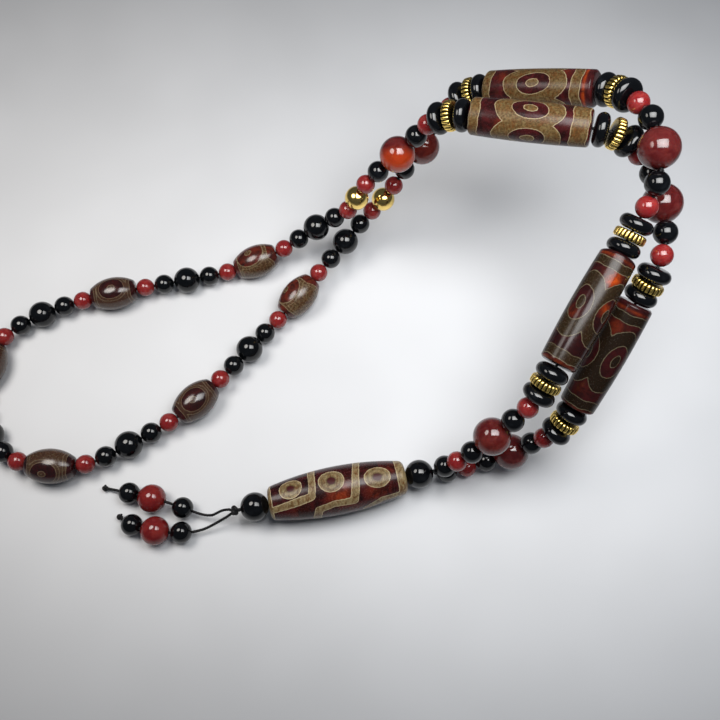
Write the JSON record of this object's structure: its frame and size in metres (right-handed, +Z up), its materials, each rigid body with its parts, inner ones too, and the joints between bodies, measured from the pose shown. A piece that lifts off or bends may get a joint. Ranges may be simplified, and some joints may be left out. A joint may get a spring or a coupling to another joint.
{
  "type": "dzi bead necklace",
  "caption": "Long folk necklace of agate, onyx, carnelian and gilt beads on one thread, with a tube-shaped eye-bead pendant and two knotted tails, kept in a draped form.",
  "frame": {"origin": "the place that carries the draped string from below, just under its upper rear tube bead, 60 mm above the level on which the rest lies", "axes": "+X to the right of the draped form, +Y to its back, +Z up"},
  "size_m": [0.1961, 0.1193, 0.0802],
  "materials": {
    "pendant_dzi": "polished etched agate, dark maroon with cream lines",
    "tube_dzi_1": "polished etched agate, brown with cream lines",
    "tube_dzi_2": "polished etched agate, brown with cream lines",
    "tube_dzi_3": "polished etched agate, brown with cream lines",
    "tube_dzi_4": "polished etched agate, brown with cream lines",
    "barrel_dzi_1": "polished etched agate, brown with cream lines",
    "barrel_dzi_2": "polished etched agate, brown with cream lines",
    "barrel_dzi_3": "polished etched agate, brown with cream lines",
    "barrel_dzi_4": "polished etched agate, brown with cream lines",
    "barrel_dzi_5": "polished etched agate, brown with cream lines",
    "barrel_dzi_6": "polished etched agate, brown with cream lines",
    "carnelian_large_1": "polished carnelian, deep red",
    "carnelian_large_2": "polished carnelian, deep red",
    "carnelian_large_3": "polished carnelian, deep red",
    "carnelian_large_4": "polished carnelian, deep red",
    "carnelian_large_5": "polished carnelian, deep red",
    "carnelian_large_6": "polished carnelian, deep red",
    "onyx_large_1": "polished onyx, black",
    "onyx_large_2": "polished onyx, black",
    "onyx_large_3": "polished onyx, black",
    "onyx_large_4": "polished onyx, black",
    "onyx_large_5": "polished onyx, black",
    "onyx_large_6": "polished onyx, black",
    "onyx_large_7": "polished onyx, black",
    "onyx_large_upper": "polished onyx, black",
    "onyx_large_lower": "polished onyx, black",
    "gilt_ball_1": "polished gilt",
    "gilt_ball_2": "polished gilt",
    "gilt_spacer_1": "polished gilt",
    "gilt_spacer_2": "polished gilt",
    "gilt_spacer_3": "polished gilt",
    "gilt_spacer_4": "polished gilt",
    "gilt_spacer_5": "polished gilt",
    "gilt_spacer_6": "polished gilt",
    "gilt_spacer_7": "polished gilt",
    "gilt_spacer_8": "polished gilt",
    "onyx_small_beads": "polished onyx, black",
    "carnelian_small_beads": "polished carnelian, deep red",
    "onyx_rondelles": "polished onyx, black",
    "tail_onyx_beads": "polished onyx, black",
    "tail_carnelian_rear": "polished carnelian, deep red",
    "tail_carnelian_front": "polished carnelian, deep red",
    "neck_thread": "black twisted thread",
    "tail_thread_rear": "black twisted thread",
    "tail_thread_front": "black twisted thread",
    "tail_knot": "black twisted thread",
    "end_knot_rear": "black twisted thread",
    "end_knot_front": "black twisted thread"
  },
  "bodies": {
    "root": {"pendant_dzi": "pendant_dzi", "tube_dzi_1": "tube_dzi_1", "tube_dzi_2": "tube_dzi_2", "tube_dzi_3": "tube_dzi_3", "tube_dzi_4": "tube_dzi_4", "barrel_dzi_1": "barrel_dzi_1", "barrel_dzi_2": "barrel_dzi_2", "barrel_dzi_3": "barrel_dzi_3", "barrel_dzi_4": "barrel_dzi_4", "barrel_dzi_5": "barrel_dzi_5", "barrel_dzi_6": "barrel_dzi_6", "carnelian_large_1": "carnelian_large_1", "carnelian_large_2": "carnelian_large_2", "carnelian_large_3": "carnelian_large_3", "carnelian_large_4": "carnelian_large_4", "carnelian_large_5": "carnelian_large_5", "carnelian_large_6": "carnelian_large_6", "onyx_large_1": "onyx_large_1", "onyx_large_2": "onyx_large_2", "onyx_large_3": "onyx_large_3", "onyx_large_4": "onyx_large_4", "onyx_large_5": "onyx_large_5", "onyx_large_6": "onyx_large_6", "onyx_large_7": "onyx_large_7", "onyx_large_upper": "onyx_large_upper", "onyx_large_lower": "onyx_large_lower", "gilt_ball_1": "gilt_ball_1", "gilt_ball_2": "gilt_ball_2", "gilt_spacer_1": "gilt_spacer_1", "gilt_spacer_2": "gilt_spacer_2", "gilt_spacer_3": "gilt_spacer_3", "gilt_spacer_4": "gilt_spacer_4", "gilt_spacer_5": "gilt_spacer_5", "gilt_spacer_6": "gilt_spacer_6", "gilt_spacer_7": "gilt_spacer_7", "gilt_spacer_8": "gilt_spacer_8", "onyx_small_beads": "onyx_small_beads", "carnelian_small_beads": "carnelian_small_beads", "onyx_rondelles": "onyx_rondelles", "tail_onyx_beads": "tail_onyx_beads", "tail_carnelian_rear": "tail_carnelian_rear", "tail_carnelian_front": "tail_carnelian_front", "neck_thread": "neck_thread", "tail_thread_rear": "tail_thread_rear", "tail_thread_front": "tail_thread_front", "tail_knot": "tail_knot", "end_knot_rear": "end_knot_rear", "end_knot_front": "end_knot_front"}
  },
  "joints": []
}
